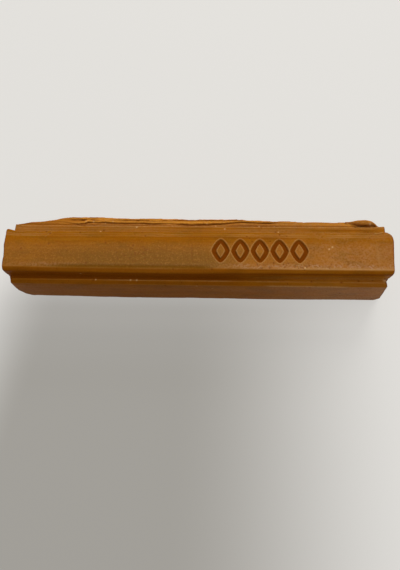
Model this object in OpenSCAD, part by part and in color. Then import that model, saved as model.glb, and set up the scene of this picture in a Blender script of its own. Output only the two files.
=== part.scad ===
// Furniture repair wax stick: one cast bar of filler wax, lying on a broad face.
// X runs along the bar, -Y is the closed side of its mould, +Y the pour side, +Z is up.
// The origin is the middle of the broad face that the bar rests on.

/* [Belly] */
// Length of the belly along its front edge
belly_l = 80; // [60:1:110]
// Depth of the belly, from the front ledge to the neck
belly_d = 9.4; // [7:0.1:14]
// Thickness between the two broad faces
belly_t = 12.5; // [9:0.5:18]
// Width of the slope along the front of each broad face
front_slope = 0.7; // [0.4:0.05:1.5]
// Height of that slope
front_drop = 0.45; // [0.35:0.05:1.2]
// Width of the gentle crown along the pour side of each broad face
back_slope = 2.4; // [1.2:0.1:3]
// Height of that crown
back_drop = 0.55; // [0.2:0.05:1]
// Rounding where that crown meets the flat of the broad face
crown_round = 0.4; // [0.1:0.05:0.8]
// Rounding of the worn edges along the bar
edge_round = 0.2; // [0.1:0.05:0.25]

/* [Ends] */
// How far each end leans outwards from the front to the pour side
end_lean = 0.9; // [0.1:0.05:1]
// How far the ends are drawn in between the lips of the two broad faces
waist_inset = 0.4; // [0.2:0.05:1]
// How far the edge of each broad face lies inside the lip at the ends
lip_flare = 0.1; // [0.05:0.05:0.4]
// Rounding of the front corners of the ends
front_corner = 0.3; // [0.2:0.1:1]
// Rounding of the left corner at the pour side
left_corner = 0.6; // [0.3:0.1:2]
// Rounding of the right corner at the pour side
right_corner = 2.2; // [0.3:0.1:3]

/* [Ledges] */
// Height of the step from each broad face down to the ledges
step_h = 2.3; // [1.9:0.05:3]

/* [Front layer] */
// Depth of the front layer, from its ledge's root to the front face
front_d = 1.9; // [1.4:0.05:4]
// How far the ends of the front layer lie inside the belly's ends
front_inset = 0.95; // [0.5:0.05:4]
// Width of the bevel above and below the front face
front_bevel = 0.7; // [0.3:0.05:1.2]
// Rounding of the front face at its ends
front_end_round = 0.3; // [0.1:0.05:0.6]
// Rounding of the rubbed lower left corner of the front layer and the belly
rubbed_corner = 5.6; // [1:0.1:6]
// Rounding of the other corners of the front face
face_corner = 0.9; // [0.3:0.1:1.5]

/* [Neck] */
// Depth of the neck, from the belly to the pour plane
neck_d = 2.4; // [1.5:0.1:5]
// How far the ends of the neck lie inside the belly's ends
neck_inset = 1; // [0.4:0.05:3]
// Rounding of the rim round the pour plane
rim_round = 0.2; // [0.1:0.05:0.8]

/* [Pour skin] */
// Greatest height of the torn skin behind the pour plane
skin_h = 3.2; // [2.2:0.1:4]
// Height of the skin near the bead
skin_end_h = 1.8; // [1.4:0.1:2.5]
// Length over which the skin thins out to its left end
skin_ramp = 11.5; // [5:0.5:20]
// Height of the skin at its left end
skin_start_h = 0.4; // [0.1:0.1:1]
// Length over which the skin drops to its right end
skin_tail = 2; // [1:0.1:4]
// Bare rim left between the skin and the edge of the pour plane
skin_margin = 0.4; // [0.4:0.05:1]
// Number of layers that the skin tore in
skin_layers = 7; // [4:1:9]
// Share of its height that the skin loses towards the two rims
skin_thinning = 0.7; // [0.3:0.05:0.8]
// Swing of the torn edges along the skin
torn_swing = 0.1; // [0.05:0.05:0.25]

/* [Overflow bead] */
// Length of the rolled bead at the right end of the pour plane
bead_l = 6.8; // [4:0.1:12]
// Greatest radius of the bead
bead_r = 0.6; // [0.4:0.05:1]
// Distance from the bead's right end to the neck's right end
bead_inset = 1.6; // [1.2:0.1:6]
// Height of the bead's axis behind the pour plane
bead_lift = 1.25; // [1:0.05:1.4]
// Depth of the bead's axis below the upper ledge
bead_drop = 0.3; // [0:0.05:0.6]
// Radius of the hollow between the bead and the rim
hollow_r = 0.4; // [0.2:0.05:0.6]

/* [Hidden] */
wax_colour = [0.65, 0.385, 0.14];
torn_colour = [0.71, 0.45, 0.18];
bead_colour = [0.6, 0.33, 0.1];

// Places along the depth: front face, belly's front and back, pour plane
belly_front = -belly_d / 2;
belly_back = belly_d / 2;
front_face = belly_front - front_d;
pour_plane = belly_back + neck_d;

// Levels of the lower and the upper ledge
ledge_low = step_h;
ledge_high = belly_t - step_h;

// Half lengths of the layers
belly_half = belly_l / 2;
back_half = belly_half + end_lean;
front_half = belly_half - front_inset;
neck_half = back_half - neck_inset;

// The bead ends a little inside the neck, and the skin runs on under it
bead_right = neck_half - bead_inset;
bead_left = bead_right - bead_l;
skin_left = -neck_half + skin_margin;
skin_right = bead_right + skin_tail / 2;
skin_low = ledge_low + skin_margin;
skin_high = ledge_high - skin_margin;

// How far the outer layers run into the belly, so that all three are one casting
layer_root = 1;
// Room past the solid for cutting outlines
spare = 5;
// Fullness of a worn slope, and of a true rounding
crowned = 0.35;
rounded = 1;
// Angle by which each end leans, and how far its lip stands clear of the end's plane
lean_angle = atan(end_lean / belly_d);
lip_land = 0.05;
// How far outside the belly the rubbed corner's curve starts
rub_clear = 0.05;
// Steps in a corner's curve, along the bead and round it
curve_steps = 4;
bead_steps = 16;
bead_facets = 48;
// Bluntness of the bead's ends, and how far its thickest place lies to the right
bead_blunt = 0.7;
bead_skew = 1.5;
// How late the skin starts to thin on its way to a rim
thinning_power = 4;
// Spacing of the points along a torn edge, and lap of each layer over the next
torn_step = 1.3;
layer_lap = 0.1;
// Lengths of the two waves that make a torn edge, and their shifts from layer to layer
torn_wave_long = 13.7;
torn_wave_short = 6.1;
long_shift = 137;
short_shift = 71;

function unit(v) = v / norm(v);

// Curve across one corner, between two points that lie a cut away from it
function corner_curve(before, corner, after, cut, fullness) =
    let (
        p = corner + cut * unit(before - corner),
        q = corner + cut * unit(after - corner),
        m = fullness * corner + (1 - fullness) * (p + q) / 2
    )
    [for (i = [0:curve_steps])
        let (t = i / curve_steps)
        (1 - t) * (1 - t) * p + 2 * t * (1 - t) * m + t * t * q];

// Outline through corners that are each [across, up, cut, fullness], or sharp with no cut
function eased(corners) =
    let (
        n = len(corners),
        sharp = [for (c = corners) [c[0], c[1]]]
    )
    [for (i = [0:n - 1])
        let (c = corners[i])
        each len(c) == 2
            ? [sharp[i]]
            : corner_curve(sharp[(i + n - 1) % n], sharp[i], sharp[(i + 1) % n], c[2], c[3])];

// Whole outline from its upper corners, which repeat below the middle of the thickness
function mirrored(upper) =
    concat(upper, [for (i = [len(upper) - 1:-1:0])
        let (c = upper[i])
        [c[0], belly_t - c[1], c[2], c[3]]]);

// Bar with the given depth and height outline, of a length along X
module along_length(outline, half_length) {
    rotate([90, 0, 90])
        linear_extrude(2 * half_length, center = true)
            polygon(outline);
}

// Plate with the given length and depth outline, through the whole thickness
module through_thickness(outline) {
    translate([0, 0, -spare])
        linear_extrude(belly_t + 2 * spare)
            polygon(outline);
}

// Plate with the given length and height outline, from one depth to another
module through_depth(outline, from, to) {
    translate([0, to, 0])
        rotate([90, 0, 0])
            linear_extrude(to - from)
                polygon(outline);
}

// What lies outside one leaning end, whose lips stand out beside a drawn-in waist
module outside_end(side) {
    above = spare * lip_flare / front_drop;
    outline = eased(mirrored([
        [spare, belly_t + spare, 0, rounded],
        [-lip_flare - above, belly_t + spare, 0, rounded],
        [lip_land, belly_t - front_drop, edge_round, rounded],
        [-waist_inset, ledge_high, edge_round, rounded]
    ]));
    translate([side * belly_half, belly_front, 0])
        rotate([0, 0, -side * lean_angle])
            mirror([side < 0 ? 1 : 0, 0, 0])
                through_depth(outline, -spare, belly_d + spare);
}

// What is rubbed off the belly's lower left corner
module rubbed_away() {
    corner = [-back_half - rub_clear, -rub_clear];
    curve = corner_curve(corner + [0, spare], corner, corner + [spare, 0], rubbed_corner, rounded);
    outside = [
        corner + [rubbed_corner, -spare],
        corner + [-spare, -spare],
        corner + [-spare, rubbed_corner]
    ];
    through_depth(concat(curve, outside), belly_front - spare, belly_back + spare);
}

// Wide middle of the bar: sloped and crowned along it, with leaning ends and corners worn unequally
module belly() {
    section = eased(mirrored([
        [belly_front, belly_t - front_drop, edge_round, rounded],
        [belly_front + front_slope, belly_t, edge_round, rounded],
        [belly_back - back_slope, belly_t, crown_round, rounded],
        [belly_back, belly_t - back_drop, edge_round, rounded]
    ]));
    plan = eased([
        [-belly_half, belly_front, front_corner, rounded],
        [belly_half, belly_front, front_corner, rounded],
        [back_half, belly_back, right_corner, rounded],
        [-back_half, belly_back, left_corner, rounded]
    ]);
    difference() {
        intersection() {
            along_length(section, back_half + spare);
            through_thickness(plan);
        }
        outside_end(-1);
        outside_end(1);
        rubbed_away();
    }
}

// Bevelled layer at the closed side of the mould
module front_layer() {
    root = belly_front + layer_root;
    section = eased([
        [front_face, ledge_low, front_bevel, crowned],
        [root, ledge_low],
        [root, ledge_high],
        [front_face, ledge_high, front_bevel, crowned]
    ]);
    plan = eased([
        [-front_half, front_face, front_end_round, rounded],
        [front_half, front_face, front_end_round, rounded],
        [front_half, root],
        [-front_half, root]
    ]);
    face = eased([
        [-front_half, ledge_low, rubbed_corner, rounded],
        [front_half, ledge_low, face_corner, rounded],
        [front_half, ledge_high, face_corner, rounded],
        [-front_half, ledge_high, face_corner, rounded]
    ]);
    intersection() {
        along_length(section, front_half + spare);
        through_thickness(plan);
        through_depth(face, front_face - spare, root + spare);
    }
}

// Neck between the belly and the pour plane
module neck() {
    root = belly_back - layer_root;
    section = eased([
        [root, ledge_low],
        [pour_plane, ledge_low, rim_round, rounded],
        [pour_plane, ledge_high, rim_round, rounded],
        [root, ledge_high]
    ]);
    plan = eased([
        [-neck_half, root],
        [neck_half, root],
        [neck_half, pour_plane, rim_round, rounded],
        [-neck_half, pour_plane, rim_round, rounded]
    ]);
    intersection() {
        along_length(section, neck_half + spare);
        through_thickness(plan);
    }
}

// The moulded bar: front layer, belly and neck in one casting
module stick_body() {
    color(wax_colour)
        union() {
            belly();
            front_layer();
            neck();
        }
}

// Share of the skin's height across the pour plane, from 0 at the lower rim to 1 at the upper rim
function share_across(across) = 1 - skin_thinning * pow(2 * across - 1, thinning_power);

// Height of the torn edge of one layer along the bar
function torn_height(x, layer) =
    let (
        ramp_end = skin_left + skin_ramp,
        start = skin_start_h / skin_h,
        rise = min(1, start + (1 - start) * (x - skin_left) / skin_ramp, (skin_right - x) / skin_tail),
        fall = max(0, (x - ramp_end) / (skin_right - ramp_end)),
        full = skin_h - fall * (skin_h - skin_end_h),
        long_wave = sin(360 * x / torn_wave_long + long_shift * layer),
        short_wave = sin(360 * x / torn_wave_short + short_shift * layer)
    )
    rise * (full * share_across((layer + 0.5) / skin_layers) + torn_swing * (long_wave + short_wave / 2));

// One layer of the skin with its own torn edge
module torn_layer(layer) {
    pitch = (skin_high - skin_low) / skin_layers;
    lap = layer < skin_layers - 1 ? layer_lap : 0;
    steps = ceil((skin_right - skin_left) / torn_step);
    edge = [for (i = [0:steps])
        let (x = skin_left + (skin_right - skin_left) * i / steps)
        [x, pour_plane + torn_height(x, layer)]];
    translate([0, 0, skin_low + layer * pitch])
        linear_extrude(pitch + lap)
            polygon(concat([[skin_left, pour_plane]], edge));
}

// Torn, knife-trimmed skin on the pour plane, thinning out to the left
module pour_skin() {
    color(torn_colour)
        difference() {
            union() {
                for (layer = [0:skin_layers - 1])
                    torn_layer(layer);
            }
            bead_form(bead_r, pour_plane + bead_lift, ledge_high - bead_drop);
            bead_form(hollow_r, pour_plane + hollow_r, ledge_high - skin_margin);
        }
}

// Spindle along X with the bead's length, of a radius at its middle
module bead_form(radius, y, z) {
    profile = [for (i = [0:bead_steps])
        let (along = i / bead_steps)
        [radius * pow(sin(180 * pow(along, bead_skew)), bead_blunt), bead_l * along]];
    translate([bead_left, y, z])
        rotate([0, 90, 0])
            rotate_extrude($fn = bead_facets)
                polygon(profile);
}

// Rolled bead of overflowed wax, bedded in the skin behind the upper rim of the neck
module overflow_bead() {
    color(bead_colour)
        bead_form(bead_r, pour_plane + bead_lift, ledge_high - bead_drop);
}

stick_body();
pour_skin();
overflow_bead();
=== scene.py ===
import itertools
import math
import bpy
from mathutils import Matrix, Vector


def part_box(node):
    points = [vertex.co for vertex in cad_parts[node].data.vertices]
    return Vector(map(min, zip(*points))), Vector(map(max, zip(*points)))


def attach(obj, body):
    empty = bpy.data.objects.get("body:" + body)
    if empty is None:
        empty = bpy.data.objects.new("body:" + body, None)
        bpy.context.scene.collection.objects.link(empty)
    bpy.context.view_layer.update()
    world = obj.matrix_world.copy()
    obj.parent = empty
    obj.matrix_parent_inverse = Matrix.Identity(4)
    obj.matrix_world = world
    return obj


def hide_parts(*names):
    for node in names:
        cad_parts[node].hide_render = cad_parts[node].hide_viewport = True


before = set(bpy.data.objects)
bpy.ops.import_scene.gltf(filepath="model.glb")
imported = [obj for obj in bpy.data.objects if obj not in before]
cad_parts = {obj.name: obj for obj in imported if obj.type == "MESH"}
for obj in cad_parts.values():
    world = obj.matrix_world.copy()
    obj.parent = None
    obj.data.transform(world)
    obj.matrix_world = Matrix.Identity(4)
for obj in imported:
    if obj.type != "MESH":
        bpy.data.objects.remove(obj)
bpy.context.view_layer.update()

from types import SimpleNamespace

import bmesh
import bpy
import numpy as np
from mathutils import Matrix, Vector

# Sizes are in millimetres until a mesh is written, and then in metres
MM = 0.001

# Places on the bar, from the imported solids
body_low, body_high = (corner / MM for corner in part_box("stick_body"))
bead_low, bead_high = (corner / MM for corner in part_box("overflow_bead"))
skin_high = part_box("pour_skin")[1] / MM
TOP = body_high.z
MIDDLE = TOP / 2
POUR_PLANE = body_high.y
FRONT_FACE = body_low.y
SKIN_TOP = skin_high.z

# Depths of the layers, widths of the slopes and heights of the steps, as the solids have them
FRONT_DEPTH = 1.9
FRONT_BEVEL = 0.7
NECK_DEPTH = 2.4
STEP_HEIGHT = 2.3
FRONT_SLOPE = 0.7
BACK_SLOPE = 2.4
BACK_DROP = 0.55
BELLY_FRONT = FRONT_FACE + FRONT_DEPTH
BELLY_BACK = POUR_PLANE - NECK_DEPTH
STEP_FRONT = FRONT_FACE + FRONT_BEVEL
LEDGE = TOP - STEP_HEIGHT
LEDGE_RISE = LEDGE - MIDDLE
PANEL_FRONT = BELLY_FRONT + FRONT_SLOPE
PANEL_BACK = BELLY_BACK - BACK_SLOPE

# Fine mould lines along the crown, by their distance in front of its edge, and along the neck
CROWN_LINES = (0.75, 1.25)
NECK_LINE = 0.9
RIM_LINE = 0.13

# Long edges of the upper half, each with its depth, its height and how pale it is from rubbing and from a
# painted edge highlight
UPPER_EDGES = (
    (POUR_PLANE - RIM_LINE, LEDGE, 1.0),
    (BELLY_BACK + NECK_LINE, LEDGE, 0.55),
    (BELLY_BACK, TOP - BACK_DROP, 0.6),
    (PANEL_FRONT, TOP, 0.3),
    (STEP_FRONT, LEDGE, 0.85),
    (FRONT_FACE, LEDGE - FRONT_BEVEL, 0.45),
) + tuple((BELLY_BACK - line, TOP - BACK_DROP * (1 - line / BACK_SLOPE), 0.7) for line in CROWN_LINES)
LONG_EDGES = UPPER_EDGES + tuple((y, TOP - z, pale) for y, z, pale in UPPER_EDGES)
EDGE_WIDTH = 0.13

# Fineness of the cast and of the torn surfaces, and rounds of smoothing
BAR_VOXEL = 0.17
BAR_ROUNDS = 1
SKIN_VOXEL = 0.12
SKIN_ROUNDS = 2
BEAD_VOXEL = 0.08
BEAD_ROUNDS = 3
SMOOTHING = 0.5
WELD_DISTANCE = 0.001

# Which faces of the bar are made finer: those near a long edge, and those on the punched marks
DETAIL_WIDTH = 2 * EDGE_WIDTH
DETAIL_NEARNESS = 0.1
DETAIL_DEPTH = 0.4

# Pairs named X, Y, HEIGHTS, FROM_MIDDLE or DEPTHS are fades, from where they start to where they end
# Pairs named FACING are fades too, by how squarely a face looks up, forward or to an end
UP_FACING = (0.75, 0.95)
FLAT_FACING = (0.978, 0.995)
MIRROR_FACING = (0.93, 0.99)
WALL_FACING = (0.35, 0.7)
BEVEL_FACING = (0.3, 0.6)
END_FACING = (0.7, 0.9)

# Faces of the bar
PANEL_HEIGHTS = (TOP - 0.9, TOP - 0.6)
FLAT_FROM_MIDDLE = (MIDDLE - 0.4, MIDDLE - 0.1)
CROWN_START_Y = (PANEL_BACK - 0.8, PANEL_BACK + 0.8)
CROWN_END_Y = (BELLY_BACK + 0.1, BELLY_BACK)
NECK_START_Y = (BELLY_BACK + 0.1, BELLY_BACK + 0.3)
FRONT_END_Y = (FRONT_FACE + 0.4, FRONT_FACE + 0.1)

# Worn front edge of the broad face: how deep, how far back, and from where to where
WEAR_DEPTH = 0.25
WEAR_REACH = 0.75
WEAR_START_X = (-39.0, -24.0)
WEAR_END_X = (5.0, 1.0)
WEAR_HEIGHTS = (TOP - 1.1, TOP - 0.6)
WEAR_SLOPE_LOSS = 0.3

# How far the lip under the broad face bulges forward, at its ends and more in its middle
LIP_BULGE = 0.1
LIP_MIDDLE_BULGE = 0.33
LIP_MIDDLE_X = -8.0
LIP_MIDDLE_WIDTH = 24.0
LIP_START_Y = (BELLY_FRONT - 0.8, BELLY_FRONT)
LIP_END_Y = (PANEL_FRONT + 0.4, BELLY_FRONT + 0.1)
LIP_FROM_MIDDLE = (LEDGE_RISE - 0.25, LEDGE_RISE - 0.05)

# Right part of the lip, where its upper edge is drawn forward too
SHARP_EDGE_BULGE = 0.2
SHARP_EDGE_X = (4, 10)
SHARP_EDGE_END_Y = (PANEL_FRONT + 0.9, PANEL_FRONT)

# Lower edge of the front layer, spread forward and down, and lifted at its right corner
LOW_EDGE_FORWARD = 0.1
LOW_EDGE_DOWN = 0.22
LOW_EDGE_Y = (STEP_FRONT + 0.2, FRONT_FACE + 0.1)
LOW_EDGE_HEIGHTS = (MIDDLE + 1, MIDDLE - 3)
LOW_EDGE_X = (-32, -14)
LOW_EDGE_RIGHT_X = (24, 32)
LOW_EDGE_RIGHT_LOSS = 0.4
RIGHT_CORNER_LIFT = 0.9
RIGHT_CORNER_X = (37.7, 39.0)

# Burrs of wax at the corners, each with its place and the way it is drawn out
BURR_RADIUS = 1.3
BURRS = (
    ((-40.6, 4.9), (-0.15, 0.5)),
    ((-39.7, 7.1), (-0.1, 0.25)),
    ((-41.0, -3.4), (-0.2, 0.0)),
    ((-40.8, 1.0), (-0.15, 0.0)),
    ((39.6, 7.1), (0.0, 0.2)),
    ((39.7, 4.5), (0.0, 0.3)),
    ((40.4, -4.5), (0.15, 0.0)),
    ((38.4, -6.2), (0.2, 0.0)),
    ((-39.0, -6.6), (0.2, 0.0)),
    ((-39.2, -4.9), (-0.4, 0.0)),
    ((-41.0, -5.2), (0.65, 0.1)),
    ((40.7, -5.3), (-0.25, 0.12)),
)

# Unevenness of the cast bar: heights of its waves, and their lengths along x, y and z
BAR_WAVES = (
    (0.05, (14, 6, 6)),
    (0.02, (3.5, 2, 2)),
    (0.01, (18, 0.5, 0.5)),
)

# Nicks in the long edges
NICK_DEPTH = 0.09
NICK_WIDTH = 1.6 * EDGE_WIDTH
NICK_LENGTHS = (1.6, 0.8, 0.8)
NICK_LEVELS = (0.25, 0.7)

# Row of plain lozenges punched into the broad face, with a raised lip round each stroke
MARKS = 5
MARK_FIRST_X = 5.2
MARK_PITCH = 4.03
MARK_LAST_X = MARK_FIRST_X + (MARKS - 1) * MARK_PITCH
MARK_Y = -0.05
MARK_HALF_WIDTH = 1.38
MARK_HALF_HEIGHT = 2.2
MARK_FULLNESS = 1.3
MARK_STROKE = 0.95
MARK_DEPTH = 0.24
MARK_WALL = (0.09, -0.22)
MARK_LIP = 0.07
MARK_LIP_DISTANCE = 0.13
MARK_LIP_WIDTH = 0.11
TINY = 1e-6

# Pits all over the bar, and two clusters of finer ones on its broad face
PITS = 150
PIT_RADII = (0.13, 0.25)
PIT_DEPTH = 0.07
PIT_CLEARANCE = 0.4
PIT_END_X = 39
CLUSTER_PITS = 20
CLUSTER_RADII = (0.1, 0.18)
CLUSTER_UPWARD = 0.9
LEFT_CLUSTER = (-13, -1)
LEFT_CLUSTER_REACH = (3.5, 2)
RIGHT_CLUSTER_START_X = 12
RIGHT_CLUSTER_END_X = 28
RIGHT_CLUSTER_Y = -3.3
RIGHT_CLUSTER_REACH = 0.6

# Pale specks of dust that stand out in the photograph, and loose ones on the other sides
SPECKS = (
    (28.1, 1.0, TOP),
    (27.4, 0.5, TOP),
    (22.3, -3.7, TOP),
    (17.4, 5.7, LEDGE),
    (6.0, 6.4, LEDGE),
    (-13.1, 6.7, LEDGE),
    (-20.4, 4.6, TOP - BACK_DROP),
    (3.6, FRONT_FACE, 8.2),
    (-12.1, STEP_FRONT, LEDGE),
    (-13.4, STEP_FRONT, LEDGE),
    (-20.7, STEP_FRONT, LEDGE),
)
LOOSE_SPECKS = 12
LOOSE_SPECK_UPWARD = 0.5
SPECK_RADII = (0.11, 0.17)
SPECK_HEIGHT = 0.05

# Lit spot on the ledge at the right end
LIT_SPOT = (38.5, -5.3, LEDGE)
LIT_SPOT_RADII = (0.4, 0.41)

# Scratches on the broad face and a raised mark at its right end, each with start, end and width
SCRATCH = ((-32.1, 3.2), (-30.9, 4.5), 0.12)
END_MARK = ((37.0, 1.6), (37.2, -2.6), 0.22)
SCORE = ((-0.8, 1.4), (-0.7, -2.2), 0.12)
SCRATCH_DEPTH = 0.04

# Crumbling right end of the crown's edge
CRUMBLE_X = (34.5, 37.5)
CRUMBLE_Y = BELLY_BACK - 0.2
CRUMBLE_WIDTH = 0.8
CRUMBLE_HEIGHTS = (LEDGE - 0.1, LEDGE + 0.1)
CRUMB_HEIGHT = 0.12
CRUMB_MEAN = 0.4
CRUMB_LENGTHS = (1.1, 0.3, 0.3)
CRUMB_LEVELS = (0.1, 0.6)

# Pale bloom and painted sheen on the front strip of the broad face, on its right part and on the crown
STRIP_Y = (-2.7, -3.4)
STRIP_BLOOM = 0.1
STRIP_BLOOM_RIGHT = 0.7
STRIP_BLOOM_RIGHT_X = (3, 12)
STRIP_BLOOM_LEFT = 0.4
STRIP_BLOOM_LEFT_X = -31
STRIP_BLOOM_LEFT_WIDTH = 5
PANEL_BLOOM = 0.3
PANEL_BLOOM_X = (14, 30)
PANEL_BLOOM_Y = (2.8, 1.2)
CROWN_BLOOM = 0.22
CROWN_BLOOM_X = (12, 28)

# Painted shade on the broad face's lower left part, on the worn edge and on the crown
DUSK_Y = (2.4, -2.0)
DUSK_X = (14, 2)
DUSK_LEFT = 0.45
DUSK_INNER = 0.55
DUSK_INNER_X = (-36, -20)
WORN_DUSK = 0.7
CROWN_DUSK = 0.22

# Shade in the recess between the lip and the ledge, deepest to the left, and light to the right
LEFT_SHADE_X = (26, 2)
RECESS_START_Y = (STEP_FRONT - 0.1, STEP_FRONT + 0.1)
RECESS_END_Y = (BELLY_FRONT + 0.12, BELLY_FRONT - 0.02)
RECESS_FROM_MIDDLE = (LEDGE_RISE - 0.1, LEDGE_RISE)
RECESS_SHADE = 0.8
UNDER_LIP_FROM_MIDDLE = (LEDGE_RISE + 0.8, LEDGE_RISE + 1.5)
SLOPE_START_Y = (BELLY_FRONT - 0.1, BELLY_FRONT + 0.1)
SLOPE_END_Y = (PANEL_FRONT + 0.1, PANEL_FRONT - 0.1)
SLOPE_FROM_MIDDLE = (LEDGE_RISE + 1.4, LEDGE_RISE + 1.7)
SLOPE_SHADE = 0.22
SLOPE_SHADE_LEFT = 0.23
BEVEL_END_Y = (STEP_FRONT + 0.1, STEP_FRONT - 0.1)
BEVEL_SHADE = 0.35
BEVEL_SHADE_X = (24, 4)
LEDGE_LIGHT_X = (10, 38)
CREASE_FORWARD = 0.15
CREASE_WIDTH = 0.6

# Pale and dark mould lines along the neck and the crown
LINE_LENGTHS = (16, 0.3, 0.3)
PALE_LINE_LEVELS = (-0.2, 0.7)
DARK_LINE_LEVELS = (0.0, -0.7)
LEFT_LINES = 0.8
LEFT_LINES_X = (-22, -34)
NECK_PALE = 0.03
NECK_PALE_LINES = 0.32
NECK_DARK_LINES = 0.32
CROWN_DARK_LINES = 0.4

# Painted highlights on the rims along the pour side, the front of the broad face and the bevel of the front
# layer, and painted shade on the rims at the ends
RIM_Y = (POUR_PLANE - 0.45, POUR_PLANE - 0.2)
RIM_HEIGHTS = (LEDGE - 0.3, LEDGE - 0.1)
FRONT_RIM_X = (8, 24)
FRONT_RIM_Y = PANEL_FRONT + 0.12
FRONT_RIM_WIDTH = 0.22
FRONT_RIM_HEIGHTS = (TOP - 0.5, TOP - 0.3)
FRONT_LINE_WIDTH = 0.22
FRONT_LINE_START_X = (13, 16)
FRONT_LINE_END_X = (33, 29)
END_RIM_START_FACING = (0.05, 0.3)
END_RIM_END_FACING = (0.98, 0.85)
END_RIM_X = (37, 38.5)

# Rubbed edges, pale from wear and from a painted edge highlight: their paleness, and how it varies along
# them
RUB_MEAN = 0.55
RUB_SPREAD = 0.45
RUB_LENGTHS = (5, 2, 2)

# Gloss of the broad face and of the front face, which is shaded to the left and duller at its upper left
MIRROR_Y = (3.2, 0.0)
MIRROR_FROM_MIDDLE = (MIDDLE - 0.5, MIDDLE - 0.2)
FRONT_GLOSS = 0.26
FRONT_GLOSS_RIGHT = 0.2
FRONT_GLOSS_X = (8, 30)
FRONT_SHADE_X = (32, 8)
FRONT_DULLING = 0.6
FRONT_DULL_HEIGHTS = (LEDGE - FRONT_BEVEL - 2.5, LEDGE - FRONT_BEVEL)

# How strongly each part of the bar counts in its tones
# Pale tone: wear on the edges, lips, scratches, the end mark, crumbs and neck lines, with painted
# highlights on the edges, rims, ledge, crease and lit spot
PALE_SHARES = {
    "rubbed": 1.0,
    "lip": 0.7,
    "scratch": 0.5,
    "end_mark": 0.3,
    "front_rim": 0.75,
    "ledge": 0.12,
    "crease": 0.3,
    "front_line": 1.0,
    "lit_spot": 1.0,
    "crumbs": 0.6,
    "neck": 1.0,
    "rim": 0.65,
}
# Dark tone: punched marks, pits, the score and mould lines, with painted shade in the recess, round the
# ends and on the front face
HOLLOW_SHARES = {
    "punched": 1.0,
    "pit": 0.8,
    "score": 0.3,
    "shade": 1.0,
    "end_rim": 0.9,
    "lines": 1.0,
    "front": 0.24,
}
SHEEN_SHARES = {"mirror": 1.0, "front": 1.0, "end": 0.5}
SPECK_DUST = 0.45
SPECK_DUST_UP = 0.55
LIT_SPOT_DUST = 0.5

# Sheets of the torn skin: their pitch, their rise, and how their edges wander and fray
SHEET_PITCH = 1.0
SHEET_RISE = 0.26
SHEET_EDGE = (0.0, 0.14)
SHEET_MEAN = 0.5
SHEET_WAVES = (
    (0.34, (10, 2.5, 1)),
    (0.16, (3.4, 1.6, 1)),
)
FRAY = 0.06
JAGGED_FRAY = 0.3
JAGGED_WIDTH = 3.5
FRAY_LENGTHS = (1.2, 0.8, 1)

# Where the skin is torn, and how much of the relief is left where it isn't
TEAR_LEFT = -29.0
TEAR_LEFT_RUN = 4
TEAR_RIGHT = 15.5
TEAR_RIGHT_RUN = 3
CALM_RELIEF = 0.25
TORN_RELIEF = 0.75
FREE_DEPTHS = (0.0, 0.35)

# Cracks between the sheets, fine lines along them and crumbs on them
CRACK_DEPTH = 0.2
CRACK_WIDTH = 0.11
CRACK_LENGTHS = (6, 1.3, 1)
CRACK_LEVELS = (-0.5, 0.1)
SKIN_LINE_HEIGHT = 0.025
SKIN_LINE_LENGTHS = (9, 0.22, 1)
SKIN_CRUMB_HEIGHT = 0.03
SKIN_CRUMB_LENGTHS = (0.5, 0.35, 0.35)

# Middle of the skin's upper edge, lapped forward and up over the rim
LAP_FORWARD = 0.45
LAP_UP = 0.42
LAP_START_X = (-14, -5)
LAP_END_X = (18, 8)
LAP_DEPTHS = (0.9, 0.0)
LAP_HEIGHTS = (SKIN_TOP - 0.6, SKIN_TOP - 0.2)

# Fuller places of the skin: along the ramp at its left end, right of its middle and at the ramp's foot
RAMP_FILL = 0.22
RAMP_START_X = (-39.5, -36)
RAMP_END_X = (-27, -31)
FULL_X = 10.5
FULL_WIDTH = 4
FOOT_FILL = 0.22
FOOT_X = -37.3
FOOT_WIDTH = 1.5
FOOT_DEPTHS = (0.02, 0.12)

# Tones of the skin
SKIN_TOP_HEIGHTS = (SKIN_TOP - 0.5, SKIN_TOP - 0.2)
# Painted shadow in the gap where the skin meets the rim
GAP_DEPTH = 0.34
GAP_WIDTH = 0.15
GAP_HOLLOW = 0.6
# Painted highlight on the skin's turned front edge
TURNED_DEPTHS = (0.2, 0.08)
TURNED_PALE = 0.5
# Painted shadow on the skin under the bead
BEAD_HOLLOW = 0.7
BEAD_HOLLOW_Y = POUR_PLANE + 0.35
BEAD_HOLLOW_WIDTH = 0.22
BEAD_HOLLOW_START_X = (34.2, 35.2)
BEAD_HOLLOW_END_X = (38.0, 37.3)
# Painted light on the skin left of the bead, against the bead's shadow
BEAD_FOOT_X = 33.0
BEAD_FOOT_WIDTH = 1.6
BEAD_FOOT_PALE = 0.5
# Painted highlight on the raised part of each sheet
BRIGHT_START = (0.06, 0.16)
BRIGHT_END = (0.75, 0.3)
BRIGHT_UNROLLED = (0.5, 0.9)
LINE_PALE = 0.12
SMOOTH_PALE = 0.25
SMOOTH_BLOOM = 0.8
# Painted shade in the cracks between the sheets
CRACK_HOLLOW = 0.9
TORN_BLOOM = 0.55
TORN_BLOOM_UNROLLED = (1.0, 0.6)
TORN_DUSK = 0.5
TORN_DUSK_UNROLLED = (0.9, 0.5)
SKIN_SHEEN = 0.1
SKIN_DUST = 0.5
SKIN_SPECKS = 12
SKIN_SPECK_RADII = (0.12, 0.18)
SKIN_SPECK_TORN = 0.5
SKIN_SPECK_DEPTH = 1.5

# Rolled bead: its lumps, the seam that winds round it, and its forward lean
BEAD_WAVES = (
    (0.11, (1.5, 0.9, 0.9)),
    (0.03, (0.5, 0.35, 0.35)),
)
SEAM_START = -2.6
SEAM_TWIST = 0.06
SEAM_WIDTH = 0.35
SEAM_DEPTH = 0.1
BEAD_LEAN = 0.18

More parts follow.
